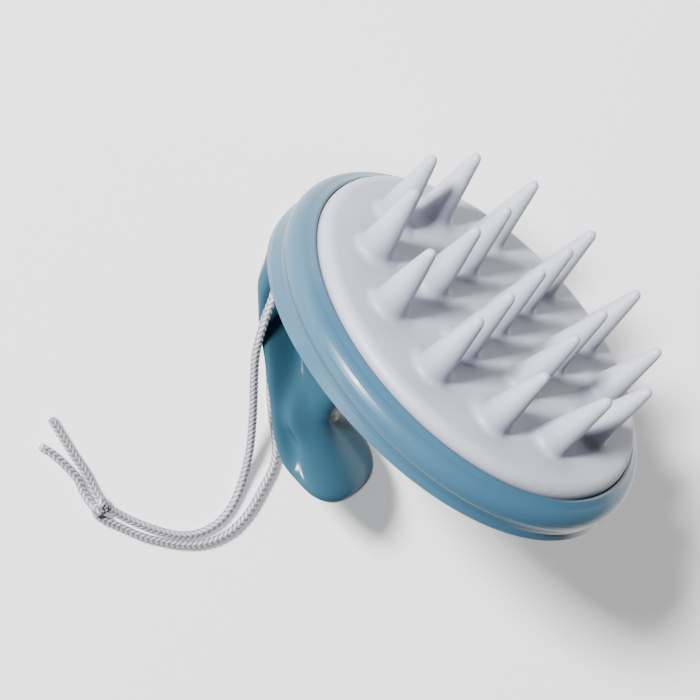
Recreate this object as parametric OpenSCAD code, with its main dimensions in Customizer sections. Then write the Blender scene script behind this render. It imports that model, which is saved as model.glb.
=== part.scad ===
// Scalp massager brush: silicone bristle pad clamped in a round ABS body,
// with an overhanging finger grip behind it and a braided wrist cord.
// Lengths are in millimetres. The brush is drawn in its own tool frame (disc axis up,
// grip below, grip tip towards +X) and then laid on its side, as it rests on a table.

/* [Body] */
// Diameter of the body at its widest edge
body_d = 87; // [84:0.5:94]
// Depth of the body from the edge of the pad to the lower edge of the rim
rim_h = 8.1; // [7.5:0.1:10]
// Extra depth of the rim at the rear, where the grip runs into it
rear_dip = 3.2; // [1:0.1:3.5]
// Depth of the domed back below the lower edge of the rim
back_dome = 3.6; // [2.5:0.1:5]
// Wall thickness of the plastic mouldings
wall = 1.8; // [1.4:0.1:2.2]

/* [Bristle pad] */
// Radius of the visible pad
pad_r = 39; // [36:0.5:39]
// Height of the rounded pad shoulder above its edge
pad_rise = 2.4; // [1.5:0.1:3]
// Crown of the pad between shoulder and centre
pad_crown = 0.7; // [0.2:0.1:1.2]
// Length of a bristle above the pad
bristle_h = 16.2; // [10:0.5:18]
// Radius of a bristle above its flared foot
bristle_r = 3.5; // [2.8:0.1:3.8]
// Radius of a bristle's rounded tip
tip_r = 1.2; // [0.8:0.1:1.6]
// Radius of the flare at a bristle's foot
flare_r = 1.6; // [0.8:0.1:2]
// Outward lean of the outer bristles
splay = 7; // [0:0.5:9]

/* [Cord] */
// Diameter of the braided cord
cord_d = 1.6; // [1.4:0.1:1.7]
// Diameter of the cord hole through the grip
hole_d = 4.6; // [4:0.1:5]

/* [Hidden] */
$fn = 96;

teal = [0.42, 0.60, 0.67];
pad_grey = [0.80, 0.80, 0.83];
rim_r = body_d / 2;
bead_r = rim_r - 0.3;

// Places in the tool frame
outer_ring_r = 28.2;          // circle of the twelve outer bristle feet
inner_ring_r = 14.8;          // circle of the six inner bristle feet
hole_x = -35;                 // axis of the cord hole
hole_z = -18.5;
screw_x = [-27, -12];         // grip screws, both on the mirror plane
pad_seat = -2.4;              // underside of the pad on its plate
flange_r = pad_r + 2.2;       // clamped edge of the pad

// Laid down on the rim and one flank of the grip: the tool frame is turned about X, Y
// and Z in that order, then shifted so that the lowest point is at zero and the middle
// of the brush is over the origin.
roll = -45.9;
pitch = -32.6;
heading = -55;
shift_x = 2.5;
shift_y = 1.9;
shift_z = 40.9;
module laid() { translate([shift_x, shift_y, shift_z]) rotate([roll, pitch, heading]) children(); }

// Points of an arc, with angles in degrees
function arc(c, r, a0, a1, n = 8) =
    [for (i = [0 : n]) let (a = a0 + (a1 - a0) * i / n) c + r * [cos(a), sin(a)]];

// ---- bristle pad -------------------------------------------------------

// Height of the crowned pad face at a radius
function pad_top(r) = pad_rise + pad_crown * (1 - pow(r / (pad_r - pad_rise), 2));

// One bristle standing on z = 0: flared foot, straight taper, round tip
module bristle() {
    rotate_extrude($fn = 36)
        polygon(concat(
            [[0, -1.2], [bristle_r + flare_r, -1.2]],
            arc([bristle_r + flare_r, flare_r], flare_r, 270, 188, 5),
            arc([0, bristle_h - tip_r], tip_r, 8, 90, 5)));
}

module bristle_at(r, angle, lean) {
    rotate([0, 0, angle]) translate([r, 0, pad_top(r)]) rotate([0, lean, 0]) bristle();
}

module bristle_pad() {
    shoulder = arc([pad_r - pad_rise, 0], pad_rise, 0, 75, 6);
    crown = [for (i = [0 : 5]) let (r = (pad_r - pad_rise) * (0.9 - 0.18 * i)) [r, pad_top(r)]];
    color(pad_grey) laid() union() {
        rotate_extrude()
            polygon(concat(
                [[0, pad_seat], [flange_r - 2.6, pad_seat], [flange_r - 2.6, pad_seat - 1.2],
                 [flange_r, pad_seat - 1.2], [flange_r, pad_seat + 0.3], [pad_r, pad_seat + 0.3]],
                shoulder, crown, [[0, pad_top(0)]]));
        bristle_at(0, 0, 0);
        for (i = [0 : 5]) bristle_at(inner_ring_r, 60 * i + 30, splay / 2);
        for (i = [0 : 11]) bristle_at(outer_ring_r, 30 * i, splay);
    }
}

// ---- rigid body --------------------------------------------------------

// Depth of the rim's lower edge along the brush: level at the front, dipping at the rear
function edge_z(x) = -rim_h - rear_dip * pow((1 - x / rim_r) / 2, 4);

// Everything below the lower edge, as a side profile swept across the brush
module below_edge() {
    xs = [for (i = [0 : 16]) rim_r * (1.2 - 2.4 * i / 16)];
    rotate([90, 0, 0]) translate([0, 0, -60]) linear_extrude(120)
        polygon(concat([for (x = xs) [x, edge_z(min(rim_r, max(-rim_r, x)))]],
                       [[-60, edge_z(-rim_r)], [-60, -40], [60, -40], [60, edge_z(rim_r)]]));
}

// Ring round the pad: inner lip, rounded bead, waisted side wall and a thin lower edge
module clamp_ring() {
    bead = 3.5;
    foot = rim_h + rear_dip + 1;
    color(teal) laid() difference() {
        rotate_extrude() polygon(concat(
            [[pad_r + 0.1, pad_seat + 0.4], [pad_r + 0.1, -0.5], [pad_r + 0.3, -0.2], [pad_r + 0.8, -0.2]],
            arc([bead_r - bead, -4.2], bead, 70, -12, 8),
            [[bead_r - 0.6, -6], [bead_r - 0.65, -6.8], [rim_r - 0.1, -9], [rim_r - 0.1, -foot],
             [rim_r - wall, -foot], [bead_r - wall - 0.2, -5.6], [flange_r + 0.2, -4.8],
             [flange_r + 0.2, pad_seat + 0.4]]));
        below_edge();
    }
}

// Plate that backs the pad, with a location rim, ribs and two screw sockets
module support_plate() {
    plate_z = pad_seat - 1.6;
    color("gainsboro") laid() difference() {
        union() {
            rotate_extrude() polygon([[0, pad_seat], [flange_r - 2.8, pad_seat],
                [flange_r - 2.8, pad_seat - 1.3], [flange_r - 0.2, pad_seat - 1.3],
                [flange_r - 0.2, plate_z - 0.6], [flange_r - 2.2, plate_z - 0.6],
                [flange_r - 2.2, plate_z], [0, plate_z]]);
            for (a = [0 : 45 : 315]) rotate([0, 0, a + 22.5])
                translate([9, -0.7, plate_z - 1.6]) cube([27, 1.4, 1.8]);
            translate([0, 0, plate_z - 1.6]) difference() {
                cylinder(h = 1.8, r = 10);
                translate([0, 0, -1]) cylinder(h = 5, r = 8.6);
            }
        }
        for (a = [0 : 90 : 270]) rotate([0, 0, a + 45]) translate([18, 0, -8]) cylinder(h = 8, r = 1.6);
    }
}

// Height of the outside of the back at a radius, as a shallow dome
function back_z(r) = -rim_h - back_dome * (1 - pow(r / (rim_r - wall), 2));

// Domed back with a skirt that plugs into the ring
module back_shell() {
    skirt_r = rim_r - wall - 0.9;
    edge_r = rim_r - wall - 0.15;
    outside = [for (i = [0 : 8]) let (r = edge_r * (1 - i / 8)) [r, back_z(r) + 0.25]];
    inside = [for (i = [8 : -1 : 0]) let (r = (skirt_r - wall) * (1 - i / 8)) [r, back_z(r) + wall + 0.25]];
    color(teal) laid() difference() {
        union() {
            rotate_extrude() polygon(concat([[edge_r, -rim_h + 0.3]], outside, inside,
                [[skirt_r - wall, -5.8], [skirt_r - 0.4, -5.8], [skirt_r - 0.4, -rim_h + 0.6]]));
            for (x = screw_x) translate([x, 0, back_z(abs(x)) + 0.5]) cylinder(h = 3.6, r = 3.4, $fn = 48);
        }
        for (x = screw_x) translate([x, 0, -20]) cylinder(h = 20, r = 1.6, $fn = 32);
        for (x = screw_x) translate([x, 0, back_z(abs(x)) + 2.6]) cylinder(h = 5, r = 2.7, $fn = 32);
    }
}

// ---- grip --------------------------------------------------------------
// The grip is lofted from level outlines. Each outline runs from the rear (the ramp of
// the cap) to the front; it is wide at the cap's rolled border and narrow at the neck.

// rear end of the outline at a level
rear_x = [[-49, -3], [-48.7, -6], [-47.9, -9], [-46.4, -12.2], [-43.6, -16], [-38.9, -21.6],
          [-33.7, -28], [-29.5, -34.2], [-25.2, -39.4], [-19.2, -42.4], [-14, -43], [-7, -43]];
// front end of the outline: hook tip, then the throat and the front of the neck
front_x = [[-49, -2], [-48.7, 1], [-48.2, 3.8], [-47.6, 5.6], [-47, 6.4], [-46.2, 6.6], [-45.2, 6.2],
           [-44.2, 5], [-43.2, 3.2], [-42.3, 1.2], [-41.6, -0.6], [-40.6, -2.6], [-39, -4.2],
           [-36.5, -5], [-33, -5.4], [-25, -4.6], [-17, -1.5], [-12, 2.5], [-7, 5]];
// half width at the cap's border
border_w = [[-49, 2], [-48.7, 5.5], [-48.2, 9.4], [-47.6, 12], [-47, 13.7], [-46.2, 14.8], [-45, 15.2],
            [-41, 15.2], [-36, 14.6], [-30.5, 13], [-26.3, 11], [-22.7, 9], [-17.3, 7.4], [-12, 8], [-7, 9]];
// half width of the neck ahead of the border
neck_w = [[-49, 2], [-48.7, 5.5], [-48.2, 9.4], [-47.6, 12], [-47, 13.6], [-46.2, 14.6], [-45.2, 14.8],
          [-44.2, 13.6], [-43.2, 11.6], [-42.3, 9.8], [-41.5, 8.6], [-40.4, 7.6], [-38.5, 6.6],
          [-35, 5.9], [-30, 5.6], [-22, 5.6], [-16, 6.4], [-12, 8], [-7, 9.5]];

grip_levels = [-49, -48.85, -48.6, -48.2, -47.7, -47.1, -46.4, -45.7, -45, -44.3, -43.7, -43.1, -42.5,
               -41.9, -41.3, -40.6, -39.7, -38.5, -37, -35, -33, -30.5, -28, -25.5, -23, -20.5, -18,
               -15.5, -13, -10, -7];

// Half width of an outline at a share t of the way from rear to front
function outline_w(z, t) =
    let (len = lookup(z, front_x) - lookup(z, rear_x),
         d = t * len,
         w = lookup(z, border_w), n = lookup(z, neck_w),
         round_rear = min(len / 2, 6.5), round_front = min(len / 2, 5 + 0.45 * max(0, n - 5)),
         swell = n + (w - n) * exp(-pow(max(0, d - 4.5) / 6, 2)),
         rear = d < round_rear ? pow(1 - pow(1 - d / round_rear, 2.2), 1 / 2.2) : 1,
         e = len - d,
         front = e < round_front ? pow(1 - pow(1 - e / round_front, 2.4), 1 / 2.4) : 1)
    swell * rear * front;

side_steps = 20;
function outline(z) =
    let (x0 = lookup(z, rear_x), x1 = lookup(z, front_x),
         ts = [for (i = [0 : side_steps]) (1 - cos(180 * i / side_steps)) / 2])
    concat(
        [for (i = [0 : side_steps]) [x0 + (x1 - x0) * ts[i], outline_w(z, ts[i]), z]],
        [for (i = [side_steps - 1 : -1 : 1]) [x0 + (x1 - x0) * ts[i], -outline_w(z, ts[i]), z]]);

// Closed skin through a stack of outlines that have equal counts of points
module skin(rings) {
    m = len(rings[0]);
    n = len(rings);
    points = [for (r = rings) each r];
    sides = [for (k = [0 : n - 2]) for (i = [0 : m - 1]) let (j = (i + 1) % m)
        each [[k * m + i, k * m + j, (k + 1) * m + j], [k * m + i, (k + 1) * m + j, (k + 1) * m + i]]];
    polyhedron(points, concat(
        sides,
        [[for (i = [m - 1 : -1 : 0]) i]],
        [[for (i = [0 : m - 1]) (n - 1) * m + i]]));
}

module grip() {
    color(teal) laid() difference() {
        skin([for (z = grip_levels) outline(z)]);
        rotate_extrude() polygon(concat(
            [[0, 0], [rim_r - wall - 0.15, 0]],
            [for (i = [0 : 8]) let (r = (rim_r - wall - 0.15) * (1 - i / 8)) [r, back_z(r) + 0.2]]));
        difference() {
            translate([0, 0, -20]) cylinder(h = 20, r = rim_r + 2);
            translate([0, 0, -21]) cylinder(h = 22, r = rim_r - wall - 0.2);
            below_edge();
        }
        translate([hole_x, 20, hole_z]) rotate([90, 0, 0]) cylinder(h = 40, d = hole_d, $fn = 48);
        for (x = screw_x) translate([x, 0, -22]) cylinder(h = 16, r = 1.2, $fn = 32);
    }
}

// Two self-tapping screws from inside the back shell into the grip
module grip_screws() {
    color("silver") laid() for (x = screw_x) translate([x, 0, back_z(abs(x)) + 2.6]) {
        difference() {
            cylinder(h = 1.8, r = 2.5, $fn = 32);
            translate([-0.4, -1.6, 0.9]) cube([0.8, 3.2, 2]);
            translate([-1.6, -0.4, 0.9]) cube([3.2, 0.8, 2]);
        }
        translate([0, 0, -10]) cylinder(h = 10.2, r = 1.2, $fn = 32);
        translate([0, 0, -11.5]) cylinder(h = 1.5, r1 = 0.4, r2 = 1.2, $fn = 32);
    }
}

// ---- wrist cord --------------------------------------------------------
// These points are on the table, not in the tool frame: the cord lies slack beside the
// brush. The loop starts at the knot, climbs the near side of the grip, runs through
// the hole, comes out under the neck and lies back along the table to the knot.
loop_route = [
    [-60.3, -36.9, 1.5], [-57, -39.4, 0.9], [-53, -41.8, 0.9], [-49.2, -43.7, 0.9], [-45.6, -45.1, 0.9],
    [-42, -45.6, 0.9], [-38.6, -45, 0.9], [-35.6, -43.4, 0.9], [-33.2, -40.8, 0.9], [-31.5, -37.4, 1.1],
    [-30.5, -33, 2.1], [-30.2, -28, 3.9], [-30.6, -22.5, 6.1], [-31.5, -16.5, 8.9], [-32.6, -10.5, 11.8],
    [-33.4, -5, 14.4], [-33.2, -0.5, 16.2], [-32.3, 3.5, 17.2], [-31.2, 7, 17.9], [-30.2, 9.8, 17.7],
    [-28.6, 11.7, 16.7], [-26, 12.2, 14.8], [-21.3, 12.8, 11.2], [-16.5, 13.3, 7.5], [-14, 13.8, 5.5],
    [-12.2, 15, 3.7], [-11.8, 17.4, 2.1], [-13.4, 19.9, 1.1], [-16.6, 20.9, 0.9], [-20, 19.2, 0.9],
    [-22.4, 15.6, 0.9], [-23.5, 10, 0.9], [-23.7, 3, 0.9], [-24, -5, 0.9], [-24.2, -13, 0.9],
    [-23.9, -21, 0.9], [-22.9, -28, 0.9], [-23.4, -33, 0.9], [-26, -37.8, 0.9], [-29, -42.4, 0.9],
    [-32.6, -45.8, 0.9], [-36.8, -47.6, 0.9], [-41, -48, 0.9], [-45.2, -47.3, 0.9], [-49.4, -45.9, 0.9],
    [-53.4, -44.2, 0.9], [-57.4, -41.8, 0.9], [-62.4, -38.5, 1.6]];
tail_long_route = [[-63, -33.6, 1.5], [-63.9, -31.2, 0.9], [-65.1, -28.5, 0.9], [-67.4, -24.6, 0.9],
                   [-69.6, -20.6, 0.9], [-71.6, -16.8, 0.9]];
tail_short_route = [[-64.6, -34.6, 1.5], [-65.7, -32.3, 0.9], [-66.7, -29.8, 0.9], [-69.2, -26.6, 0.9],
                    [-71.8, -23.8, 0.9], [-74, -22.1, 0.9]];
knot_at = [-62.6, -36, 2.3];
knot_r = 2.3;

function unit(v) = v / norm(v);

// Direction of a route at one of its points
function along(p, i) = unit(p[min(i + 1, len(p) - 1)] - p[max(i - 1, 0)]);

// One direction across the cord at each point, carried along without twist
function across(p, last = [0, 0, 1], i = 0) =
    i == len(p) ? [] :
    let (t = along(p, i), u = unit(last - (last * t) * t))
    concat([u], across(p, u, i + 1));

function cord_rings(p, r) =
    let (us = across(p))
    [for (i = [0 : len(p) - 1])
        let (t = along(p, i), u = us[i], v = cross(t, u))
        [for (a = [0 : -45 : -315]) p[i] + r * (cos(a) * u + sin(a) * v)]];

module cord(route) { color("lightgrey") skin(cord_rings(route, cord_d / 2)); }

module wrist_cord() { cord(loop_route); }
module cord_tail_long() { cord(tail_long_route); }
module cord_tail_short() { cord(tail_short_route); }
module cord_knot() { color("lightgrey") translate(knot_at) sphere(r = knot_r, $fn = 48); }

bristle_pad();
clamp_ring();
support_plate();
back_shell();
grip();
grip_screws();
wrist_cord();
cord_knot();
cord_tail_short();
cord_tail_long();
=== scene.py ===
import math
import bpy
from mathutils import Euler, Matrix, Vector


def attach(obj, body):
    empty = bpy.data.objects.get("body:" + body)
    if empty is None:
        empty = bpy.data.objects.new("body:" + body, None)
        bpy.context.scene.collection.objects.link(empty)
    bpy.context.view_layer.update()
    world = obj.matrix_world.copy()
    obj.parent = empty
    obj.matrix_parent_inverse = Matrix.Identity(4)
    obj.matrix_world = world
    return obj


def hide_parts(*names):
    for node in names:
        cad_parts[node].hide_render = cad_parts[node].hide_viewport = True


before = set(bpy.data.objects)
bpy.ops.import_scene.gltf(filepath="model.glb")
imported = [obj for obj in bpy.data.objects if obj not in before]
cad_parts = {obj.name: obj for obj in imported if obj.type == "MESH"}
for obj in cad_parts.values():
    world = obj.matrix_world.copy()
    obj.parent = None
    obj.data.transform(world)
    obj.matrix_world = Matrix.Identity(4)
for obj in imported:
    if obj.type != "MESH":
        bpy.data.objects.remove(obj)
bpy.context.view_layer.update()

# camera first, then everything it looks at

cameraSettings = {
    "place": (-0.19044, 0.09673, 0.36539),
    "turn": (-14.772, -26.844, 0.244),  # degrees
    "lens": 102.857,
    "near": 0.01,
    "far": 20,
}

def radians(angles):
    return [math.radians(angle) for angle in angles]


def addCamera(settings):
    bpy.ops.object.camera_add(location=settings["place"], rotation=radians(settings["turn"]))
    camera = bpy.context.active_object
    camera.data.lens = settings["lens"]
    camera.data.clip_start = settings["near"]
    camera.data.clip_end = settings["far"]
    bpy.context.scene.camera = camera


addCamera(cameraSettings)
print("camera placed")

# shader wiring

class Wire:
    def __init__(self, net, socket):
        self.net = net
        self.socket = socket

    def math(self, operation, *others):
        made = self.net.node("ShaderNodeMath", {"operation": operation}, dict(enumerate((self,) + others)))
        return Wire(self.net, made.outputs[0])

    def __add__(self, other):
        return self.math("ADD", other)

    def __radd__(self, other):
        return self.math("ADD", other)

    def __sub__(self, other):
        return self.math("SUBTRACT", other)

    def __rsub__(self, other):
        return self.net.value(other).math("SUBTRACT", self)

    def __mul__(self, other):
        return self.math("MULTIPLY", other)

    def __rmul__(self, other):
        return self.math("MULTIPLY", other)


class Net:
    def __init__(self, name):
        self.material = bpy.data.materials.new(name)
        self.material.use_nodes = True
        self.tree = self.material.node_tree
        self.shader = self.tree.nodes["Principled BSDF"]

    def node(self, kind, settings, inputs):
        made = self.tree.nodes.new(kind)
        for key, value in settings.items():
            setattr(made, key, value)
        for place, value in inputs.items():
            self.feed(made.inputs[place], value)
        return made

    def feed(self, socket, value):
        if isinstance(value, Wire):
            self.tree.links.new(value.socket, socket)
        else:
            socket.default_value = value

    def value(self, number):
        made = self.node("ShaderNodeValue", {}, {})
        made.outputs[0].default_value = number
        return Wire(self, made.outputs[0])

    def place(self):
        made = self.node("ShaderNodeTexCoord", {}, {})
        return Wire(self, made.outputs["Object"])

    def attribute(self, name):
        made = self.node("ShaderNodeAttribute", {"attribute_name": name}, {})
        return Wire(self, made.outputs["Fac"])

    def noise(self, where, scale, detail):
        made = self.node("ShaderNodeTexNoise", {}, {"Vector": where, "Scale": scale, "Detail": detail})
        return Wire(self, made.outputs[0])

    def blend(self, factor, first, second):
        made = self.node("ShaderNodeMix", {"data_type": "RGBA"}, {0: factor, 6: first, 7: second})
        return Wire(self, made.outputs[2])

    # painted shade mask: ambient occlusion raised to a power, low where the surface is hemmed in and shade
    # falls
    def open(self, reach, power):
        made = self.node("ShaderNodeAmbientOcclusion", {"samples": 8}, {"Distance": reach})
        return Wire(self, made.outputs["AO"]).math("POWER", power)

    def bump(self, height, strength):
        inputs = {"Height": height, "Strength": strength, "Distance": 0.0002}
        return Wire(self, self.node("ShaderNodeBump", {}, inputs).outputs[0])

    def shade(self, **inputs):
        for key, value in inputs.items():
            self.feed(self.shader.inputs[key.replace("_", " ")], value)
        return self.material


def linear(red, green, blue):
    return tuple(((c / 255 + 0.055) / 1.055) ** 2.4 for c in (red, green, blue)) + (1,)


# moulded plastic: body, grip and the plate inside

bodyFinish = {
    "deep": linear(50, 86, 108),
    "pale": linear(56, 93, 115),
    # painted shade: colour laid into recesses and under overhangs through the ambient occlusion mask
    "paintedShade": linear(8, 26, 34),  # where the surface is hemmed in
    "reach": 0.02,
    "power": 1.2,
    "rough": 0.3,
    "roughSpread": 0.06,
    "cloud": 60,
    "fine": 2600,
    "grain": 0.04,
    "coat": 0.22,
    "coatRough": 0.08,
    "shine": 0.35,
}
# the grip's teal is set darker than the body's as painted shade, the grip facing away from the light; a
# stronger power deepens the painted shade in its throat
gripShadedFinish = {
    **bodyFinish,
    "deep": linear(43, 76, 92),
    "pale": linear(49, 83, 100),
    "reach": 0.018,
    "power": 1.7,
    "rough": 0.16,
    "grain": 0.03,
    "coat": 0.0,
    "shine": 0.12,
}
innerFinish = {
    **bodyFinish,
    "deep": linear(214, 214, 214),
    "pale": linear(226, 226, 226),
    # painted shade for the plate's recesses
    "paintedShade": linear(120, 120, 120),
    "power": 1.3,
    "rough": 0.5,
    "grain": 0.1,
    "coat": 0.0,
    "shine": 0.4,
}

def mouldedPlastic(name, finish):
    net = Net(name)
    where = net.place()
    cloud = net.noise(where, finish["cloud"], 2)
    fine = net.noise(where, finish["fine"], 2)
    moulded = net.blend(cloud, finish["deep"], finish["pale"])
    return net.shade(
        # painted shade: the moulded colour darkens towards the shade colour in creases and recesses
        Base_Color=net.blend(net.open(finish["reach"], finish["power"]), finish["paintedShade"], moulded),
        Roughness=finish["rough"] + finish["roughSpread"] * cloud,
        Normal=net.bump(fine, finish["grain"]),
        Coat_Weight=finish["coat"],
        Coat_Roughness=finish["coatRough"],
        Specular_IOR_Level=finish["shine"])


teal = mouldedPlastic("tealPlastic", bodyFinish)
gripTeal = mouldedPlastic("gripPlastic", gripShadedFinish)
innerWhite = mouldedPlastic("innerPlastic", innerFinish)

# soft silicone of the pad and bristles

siliconeFinish = {
    "deep": linear(162, 166, 178),
    "pale": linear(172, 175, 186),
    # painted shade: lavender colour laid between the bristles and round their feet through the ambient
    # occlusion mask
    "creaseShade": linear(108, 106, 126),
    "reach": 0.009,
    "power": 1.4,
    "rough": 0.42,
    "roughSpread": 0.1,
    "cloud": 45,
    "fine": 3800,
    "grain": 0.12,
    "glow": 0.12,  # share of light that passes under the surface
    "glowReach": (0.004, 0.004, 0.0045),
    "glowScale": 0.6,
}

def softSilicone(name, finish):
    net = Net(name)
    where = net.place()
    cloud = net.noise(where, finish["cloud"], 3)
    fine = net.noise(where, finish["fine"], 2)
    rubber = net.blend(cloud, finish["deep"], finish["pale"])
    return net.shade(
        # painted shade in the creases between bristles
        Base_Color=net.blend(net.open(finish["reach"], finish["power"]), finish["creaseShade"], rubber),
        Roughness=finish["rough"] + finish["roughSpread"] * cloud,
        Normal=net.bump(fine, finish["grain"]),
        Subsurface_Weight=finish["glow"],
        Subsurface_Radius=finish["glowReach"],
        Subsurface_Scale=finish["glowScale"])


silicone = softSilicone("greySilicone", siliconeFinish)

# yarn of the cord, pale on the stitches, with painted shade dark between them

yarnFinish = {
    # painted shade: near-black colour for the creases between stitches
    "creaseShade": linear(24, 22, 32),
    "pale": linear(184, 182, 194),
    "stitchShare": 1.15,
    "fibreShare": 0.5,
    "darken": 0.25,
    "fibre": 5200,
    "rough": 0.62,
    "roughSpread": 0.2,
    "fuzz": 0.4,
}

def wovenYarn(name, finish):
    net = Net(name)
    high = net.attribute("yarn")
    fibre = net.noise(net.place(), finish["fibre"], 2)
    shade = high * finish["stitchShare"] + fibre * finish["fibreShare"] - finish["darken"]
    shade = shade.math("MINIMUM", 1.0).math("MAXIMUM", 0.0)
    return net.shade(
        Base_Color=net.blend(shade, finish["creaseShade"], finish["pale"]),
        Roughness=finish["rough"] + finish["roughSpread"] * fibre,
        Normal=net.bump(fibre, finish["fuzz"]))


yarn = wovenYarn("braidYarn", yarnFinish)

# plated steel of the screws

steelFinish = {
    "plate": linear(190, 192, 196),
    "rough": 0.25,
    "roughSpread": 0.15,
    "cloud": 900,
}

def platedSteel(name, finish):
    net = Net(name)
    cloud = net.noise(net.place(), finish["cloud"], 2)
    return net.shade(
        Base_Color=finish["plate"],
        Metallic=1.0,
        Roughness=finish["rough"] + finish["roughSpread"] * cloud)


steel = platedSteel("platedSteel", steelFinish)

def coat(obj, material):
    obj.data.materials.clear()
    obj.data.materials.append(material)


nodeMaterials = {
    "bristle_pad": silicone, "clamp_ring": teal, "support_plate": innerWhite,
    "back_shell": teal, "grip": gripTeal, "grip_screws": steel,
    "wrist_cord": yarn, "cord_knot": yarn, "cord_tail_short": yarn, "cord_tail_long": yarn,
}
for nodeName, material in nodeMaterials.items():
    coat(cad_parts[nodeName], material)
print("materials made")

def select(obj):
    bpy.ops.object.select_all(action="DESELECT")
    obj.select_set(True)
    bpy.context.view_layer.objects.active = obj


# braided cord: two strands from the grip's hole, each through the knot to its own tail

cordSettings = {
    "radius": 0.0008,
    "step": 0.00016,      # between rings
    "spanParts": 40,      # finer points between two of the route's
    "bevel": 10,
    "pitch": 0.00122,     # between chevrons
    "columns": 4,         # rows of stitches round the cord
    "slant": 1.1,
    "relief": 0.26,
    "stitchRound": 0.8,
    "valley": 0.35,       # height left between two columns
    "columnRound": 0.6,
    "loop": [
        (-60.3, -36.9, 1.5), (-57, -39.4, 0.9), (-53, -41.8, 0.9), (-49.2, -43.7, 0.9), (-45.6, -45.1, 0.9),
        (-42, -45.6, 0.9), (-38.6, -45, 0.9), (-35.6, -43.4, 0.9), (-33.2, -40.8, 0.9), (-31.5, -37.4, 1.1),
        (-30.5, -33, 2.1), (-30.2, -28, 3.9), (-30.6, -22.5, 6.1), (-31.5, -16.5, 8.9), (-32.6, -10.5, 11.8),
        (-33.4, -5, 14.4), (-33.2, -0.5, 16.2), (-32.3, 3.5, 17.2), (-31.2, 7, 17.9), (-30.2, 9.8, 17.7),
        (-28.6, 11.7, 16.7), (-26, 12.2, 14.8), (-21.3, 12.8, 11.2), (-16.5, 13.3, 7.5), (-14, 13.8, 5.5),
        (-12.2, 15, 3.7), (-11.8, 17.4, 2.1), (-13.4, 19.9, 1.1), (-16.6, 20.9, 0.9), (-20, 19.2, 0.9),
        (-22.4, 15.6, 0.9), (-23.5, 10, 0.9), (-23.7, 3, 0.9), (-24, -5, 0.9), (-24.2, -13, 0.9),
        (-23.9, -21, 0.9), (-22.9, -28, 0.9), (-23.4, -33, 0.9), (-26, -37.8, 0.9), (-29, -42.4, 0.9),
        (-32.6, -45.8, 0.9), (-36.8, -47.6, 0.9), (-41, -48, 0.9), (-45.2, -47.3, 0.9), (-49.4, -45.9, 0.9),
        (-53.4, -44.2, 0.9), (-57.4, -41.8, 0.9), (-62.4, -38.5, 1.6)],
    "inHole": 22,         # the loop's point in the middle of the grip's hole
    "tailLong": [(-63, -33.6, 1.5), (-63.9, -31.2, 0.9), (-65.1, -28.5, 0.9), (-67.4, -24.6, 0.9),
                 (-69.6, -20.6, 0.9), (-71.6, -16.8, 0.9)],
    "tailShort": [(-64.6, -34.6, 1.5), (-65.7, -32.3, 0.9), (-66.7, -29.8, 0.9), (-69.2, -26.6, 0.9),
                  (-71.8, -23.8, 0.9), (-74, -22.1, 0.9)],
    "nearInKnot": (-61.8, -35.6, 2.5),
    "farInKnot": (-63.4, -36.6, 2.2),
    "knotAt": (-62.6, -36, 2.3),
    "knotTurn": (0.5, 0.35, 0.8),
    "knotSize": 0.00047,
    "knotRings": 150,
    "pathEvery": 6,       # rings between two points of the thinned path, which nothing uses
}

def smoothPoint(a, b, c, d, u):
    bend = 2 * a - 5 * b + 4 * c - d
    twist = 3 * b - a - 3 * c + d
    return 0.5 * (2 * b + (c - a) * u + bend * u * u + twist * u ** 3)


def smoothRoute(points, settings):
    route = [Vector(p) / 1000 for p in points]
    parts = settings["spanParts"]
    dense = []
    for i in range(len(route) - 1):
        a, b = route[max(i - 1, 0)], route[i]
        c, d = route[i + 1], route[min(i + 2, len(route) - 1)]
        dense += [smoothPoint(a, b, c, d, k / parts) for k in range(parts)]
    dense.append(route[-1])
    return evenly(dense, settings["step"])


def evenly(dense, step):
    even, gone = [dense[0]], 0.0
    for a, b in zip(dense, dense[1:]):
        part = (b - a).length
        while gone + part >= step:
            a = a + (b - a) * ((step - gone) / part)
            even.append(a)
            part, gone = (b - a).length, 0.0
        gone += part
    return even


def routeLength(route):
    return sum((b - a).length for a, b in zip(route, route[1:]))


def braidHeight(turn, run, settings):
    column = settings["columns"] * turn
    across = column % 1
    lean = settings["slant"] * (across - 0.5)
    if math.floor(column) % 2:  # neighbouring columns lean opposite ways, as a herringbone
        lean = -lean
    along = (run / settings["pitch"] + lean) % 1
    stitch = math.sin(math.pi * along) ** settings["stitchRound"]
    ridge = math.sin(math.pi * across) ** settings["columnRound"]
    return stitch * (settings["valley"] + (1 - settings["valley"]) * ridge)


def plainTube(name, route, settings, closed):
    data = bpy.data.curves.new(name, "CURVE")
    data.dimensions = "3D"
    line = data.splines.new("POLY")
    line.points.add(len(route) - 1)
    for point, place in zip(line.points, route):
        point.co = tuple(place) + (1,)
    line.use_cyclic_u = closed
    data.bevel_depth = settings["radius"]
    data.bevel_resolution = settings["bevel"]
    obj = bpy.data.objects.new(name, data)
    bpy.context.collection.objects.link(obj)
    select(obj)
    bpy.ops.object.convert(target="MESH")
    return bpy.context.active_object


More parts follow.
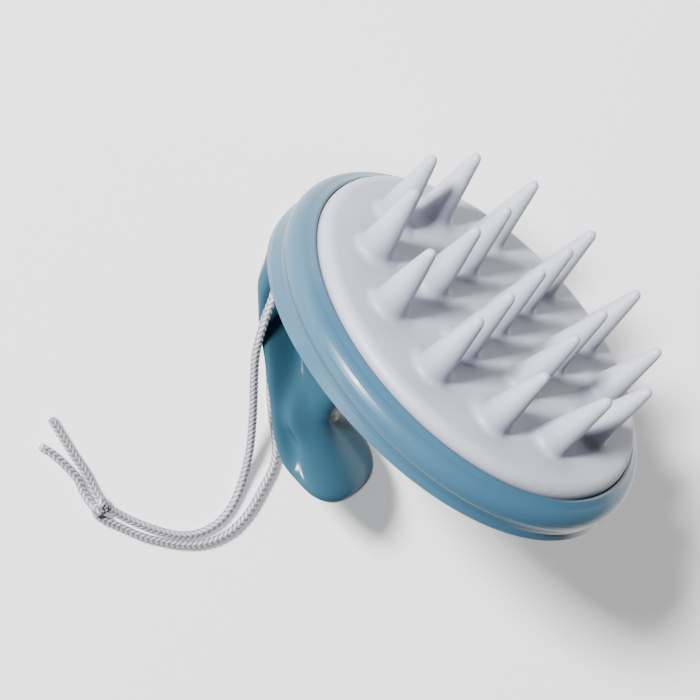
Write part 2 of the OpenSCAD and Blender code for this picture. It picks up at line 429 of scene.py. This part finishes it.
def braid(name, route, settings, closed=False):
    obj = plainTube(name, route, settings, closed)
    verts = obj.data.vertices
    sides = len(verts) // len(route)
    mark = obj.data.attributes.new("yarn", "FLOAT", "POINT")
    run = 0.0
    for i, centre in enumerate(route):
        if i:
            run += (centre - route[i - 1]).length
        for j in range(sides):
            vert = verts[i * sides + j]
            high = braidHeight(j / sides, run, settings)
            vert.co = centre + (vert.co - centre) * (1 + settings["relief"] * (high - 0.5))
            mark.data[i * sides + j].value = high
    if not closed:
        bpy.ops.object.mode_set(mode="EDIT")
        bpy.ops.mesh.select_all(action="SELECT")
        bpy.ops.mesh.fill_holes(sides=0)
        bpy.ops.object.mode_set(mode="OBJECT")
    bpy.ops.object.shade_smooth()
    coat(obj, yarn)
    return obj


def knotRoute(settings):  # a trefoil, turned so that it lies across the cord
    centre = Vector(settings["knotAt"]) / 1000
    turn = Euler(settings["knotTurn"]).to_matrix()
    rings = settings["knotRings"]
    route = []
    for i in range(rings):
        t = 2 * math.pi * i / rings
        across = math.sin(t) + 2 * math.sin(2 * t)
        along = math.cos(t) - 2 * math.cos(2 * t)
        shape = Vector((across, along, -math.sin(3 * t)))
        route.append(centre + turn @ (shape * settings["knotSize"]))
    return route


def addCords(settings):
    turnBack = settings["inHole"]
    nearPoints = settings["loop"][turnBack::-1] + [settings["nearInKnot"]] + settings["tailLong"]
    farPoints = settings["loop"][turnBack:] + [settings["farInKnot"]] + settings["tailShort"]
    knot = braid("cordKnot", knotRoute(settings), settings, closed=True)
    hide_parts("cord_knot")
    made = [knot]
    strands = (("cordNear", nearPoints, "cord_tail_long"), ("cordFar", farPoints, "cord_tail_short"))
    for name, points, tail in strands:
        route = smoothRoute(points, settings)
        obj = braid(name, route, settings)
        path = route[::settings["pathEvery"]] + [route[-1]]
        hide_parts("wrist_cord", tail)
        routeLength(route)
        made.append(obj)
    for obj in made:
        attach(obj, "root")


addCords(cordSettings)
print("cords laid")

# bristle pad, the moulded blend at each bristle's foot worked into a copy of the solid

padSettings = {
    "weld": 0.00001,
    "voxel": 0.00056,
    "soften": 0.5,
    "passes": 6,
}

def addPad(settings):
    obj = bpy.data.objects.new("softPad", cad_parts["bristle_pad"].data.copy())
    bpy.context.collection.objects.link(obj)
    select(obj)
    bpy.ops.object.mode_set(mode="EDIT")
    bpy.ops.mesh.select_all(action="SELECT")
    bpy.ops.mesh.remove_doubles(threshold=settings["weld"])
    bpy.ops.object.mode_set(mode="OBJECT")
    skin = obj.modifiers.new("skin", "REMESH")
    skin.mode = "VOXEL"
    skin.voxel_size = settings["voxel"]
    ease = obj.modifiers.new("ease", "SMOOTH")
    ease.factor = settings["soften"]
    ease.iterations = settings["passes"]
    for modifier in ("skin", "ease"):
        bpy.ops.object.modifier_apply(modifier=modifier)
    bpy.ops.object.shade_smooth()
    coat(obj, silicone)
    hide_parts("bristle_pad")
    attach(obj, "root")
    return obj


pad = addPad(padSettings)
print("pad softened,", len(pad.data.polygons), "faces")

# grip, lofted through level outlines in the upright frame and laid down with it, millimetres

gripSettings = {
    "turn": (-45.9, -32.6, -55),  # degrees, from the upright frame to the lying one
    "shift": (0.0025, 0.0019, 0.0409),
    "round": 72,       # points round a level
    "levels": 84,
    "low": -49,
    "high": -8,
    "crowd": 1.25,     # above 1, levels stand closer together near the hook
    "ease": 0.55,      # height over which the tables are smoothed
    "rear": [(-49, -3), (-48.7, -6), (-47.9, -9), (-46.4, -12.2), (-43.6, -16), (-38.9, -21.6),
             (-33.7, -28), (-29.5, -34.2), (-25.2, -39.4), (-19.2, -42.4), (-14, -43), (-7, -43)],
    "front": [(-49, -2), (-48.7, 1), (-48.2, 3.8), (-47.6, 5.6), (-47, 6.4), (-46.2, 6.6), (-45.2, 6.2),
              (-44.2, 4.6), (-43.2, 2), (-42.3, -0.6), (-41.6, -3), (-40.6, -5.4), (-39, -7.2),
              (-36.5, -8.2), (-33, -8.6), (-25, -7), (-17, -2.5), (-12, 2.5), (-7, 5)],
    "border": [(-49, 2), (-48.7, 5.5), (-48.2, 9.2), (-47.6, 11.6), (-47, 13.1), (-46.2, 14.2), (-45, 14.8),
               (-43, 15.2), (-41, 15.2), (-36, 14.6), (-30.5, 13), (-26.3, 11), (-22.7, 9),
               (-17.3, 7.4), (-12, 8), (-7, 9)],
    "neck": [(-49, 2), (-48.7, 5.5), (-48.2, 9.2), (-47.6, 11.6), (-47, 13), (-46.2, 13.8), (-45.2, 13.6),
             (-44.2, 12.4), (-43.2, 10.4), (-42.3, 8.8), (-41.5, 7.8), (-40.4, 7), (-38.5, 6.4),
             (-35, 6), (-30, 5.8), (-22, 5.8), (-16, 6.4), (-12, 8), (-7, 9.5)],
    "dish": [(-47, 0), (-45, 1.6), (-42, 2.8), (-36, 3.2), (-30, 3), (-22, 2.2), (-15, 0)],
    "borderFrom": 4,   # reach at which the border starts to fall away to the neck
    "borderFade": 5,
    "dishAt": 0.38,    # share of a level's length
    "dishSpread": 0.14,
    "rearCorner": 6.5,
    "rearPower": 2.2,
    "frontCorner": 5,
    "frontGain": 0.45,
    "frontPower": 2.4,
}

def between(table, z):
    for (z0, v0), (z1, v1) in zip(table, table[1:]):
        if z <= z1:
            return v0 + (v1 - v0) * max(0, z - z0) / (z1 - z0)
    return table[-1][1]


def smoothBetween(name, z, settings):
    near = [between(settings[name], z + settings["ease"] * k) for k in (-1, -0.5, 0, 0.5, 1)]
    return (near[0] + 2 * near[1] + 3 * near[2] + 2 * near[3] + near[4]) / 9


def corner(reach, radius, power):  # rounds a level's end as a superellipse
    if reach >= radius:
        return 1
    return (1 - (1 - reach / radius) ** power) ** (1 / power)


def gripWidth(z, reach, length, settings):
    wide, slim = smoothBetween("border", z, settings), smoothBetween("neck", z, settings)
    past = max(0, reach - settings["borderFrom"]) / settings["borderFade"]
    fromDish = (reach / length - settings["dishAt"]) / settings["dishSpread"]
    swell = slim + (wide - slim) * math.exp(-past ** 2)
    swell -= smoothBetween("dish", z, settings) * math.exp(-fromDish ** 2)
    rearRadius = min(length / 2, settings["rearCorner"])
    frontRadius = settings["frontCorner"] + settings["frontGain"] * max(0, slim - settings["frontCorner"])
    rear = corner(reach, rearRadius, settings["rearPower"])
    front = corner(length - reach, min(length / 2, frontRadius), settings["frontPower"])
    return swell * rear * front


def stackRings(settings):
    bpy.ops.mesh.primitive_circle_add(vertices=settings["round"], radius=0.01)
    obj = bpy.context.active_object
    obj.name = "gripSkin"
    bpy.ops.object.mode_set(mode="EDIT")
    bpy.ops.mesh.select_all(action="SELECT")
    for _ in range(settings["levels"] - 1):
        bpy.ops.mesh.extrude_edges_move(TRANSFORM_OT_translate={"value": (0, 0, 0.001)})
    bpy.ops.object.mode_set(mode="OBJECT")
    return obj


def addGrip(settings):
    count, levels = settings["round"], settings["levels"]
    turn = Euler(radians(settings["turn"])).to_matrix().to_4x4()
    lay = Matrix.Translation(settings["shift"]) @ turn
    obj = stackRings(settings)
    verts = obj.data.vertices
    for level in range(levels):
        share = (level / (levels - 1)) ** settings["crowd"]
        z = settings["low"] + (settings["high"] - settings["low"]) * share
        rear, front = smoothBetween("rear", z, settings), smoothBetween("front", z, settings)
        for k in range(count):
            angle = 2 * math.pi * k / count
            reach = (1 - math.cos(angle)) / 2 * (front - rear)
            width = gripWidth(z, min(max(reach, 0), front - rear), front - rear, settings)
            side = 1 if math.sin(angle) >= 0 else -1
            verts[level * count + k].co = lay @ (Vector((rear + reach, side * width, z)) / 1000)
    bpy.ops.object.mode_set(mode="EDIT")
    bpy.ops.mesh.select_all(action="SELECT")
    bpy.ops.mesh.fill_holes(sides=0)
    bpy.ops.mesh.normals_make_consistent(inside=False)
    bpy.ops.object.mode_set(mode="OBJECT")
    bpy.ops.object.shade_smooth()
    coat(obj, gripTeal)
    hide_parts("grip")
    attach(obj, "root")


addGrip(gripSettings)
print("grip lofted")

# floor and light

stageSettings = {
    "width": 60,
    "paper": linear(246, 246, 246),
    "paperRough": 0.9,
    "paperShine": 0.1,
    "lift": 0.4,       # the floor's own light, which keeps its shadows pale
    "white": (1, 1, 1, 1),
    "sky": 0.13,
    "key": 240.0,
    "toKey": (-0.624, 0.521, 0.577),
    "keyFar": 2.5,
    "keySize": 0.36,
}

def addFloor(settings):
    bpy.ops.mesh.primitive_plane_add(size=settings["width"], location=(0, 0, 0))
    floor = bpy.context.active_object
    floor.name = "tableTop"
    coat(floor, Net("paleTable").shade(
        Base_Color=settings["paper"],
        Roughness=settings["paperRough"],
        Specular_IOR_Level=settings["paperShine"],
        Emission_Color=settings["white"],
        Emission_Strength=settings["lift"]))


def addLight(settings):
    world = bpy.data.worlds.new("studio")
    bpy.context.scene.world = world
    world.use_nodes = True
    sky = world.node_tree.nodes["Background"].inputs
    sky[0].default_value = settings["white"]
    sky[1].default_value = settings["sky"]
    toKey = Vector(settings["toKey"]).normalized()
    bpy.ops.object.light_add(type="AREA", location=toKey * settings["keyFar"])
    key = bpy.context.active_object
    key.data.energy = settings["key"]
    key.data.size = settings["keySize"]
    key.rotation_euler = toKey.to_track_quat("Z", "Y").to_euler()


addFloor(stageSettings)
addLight(stageSettings)
print("stage lit")
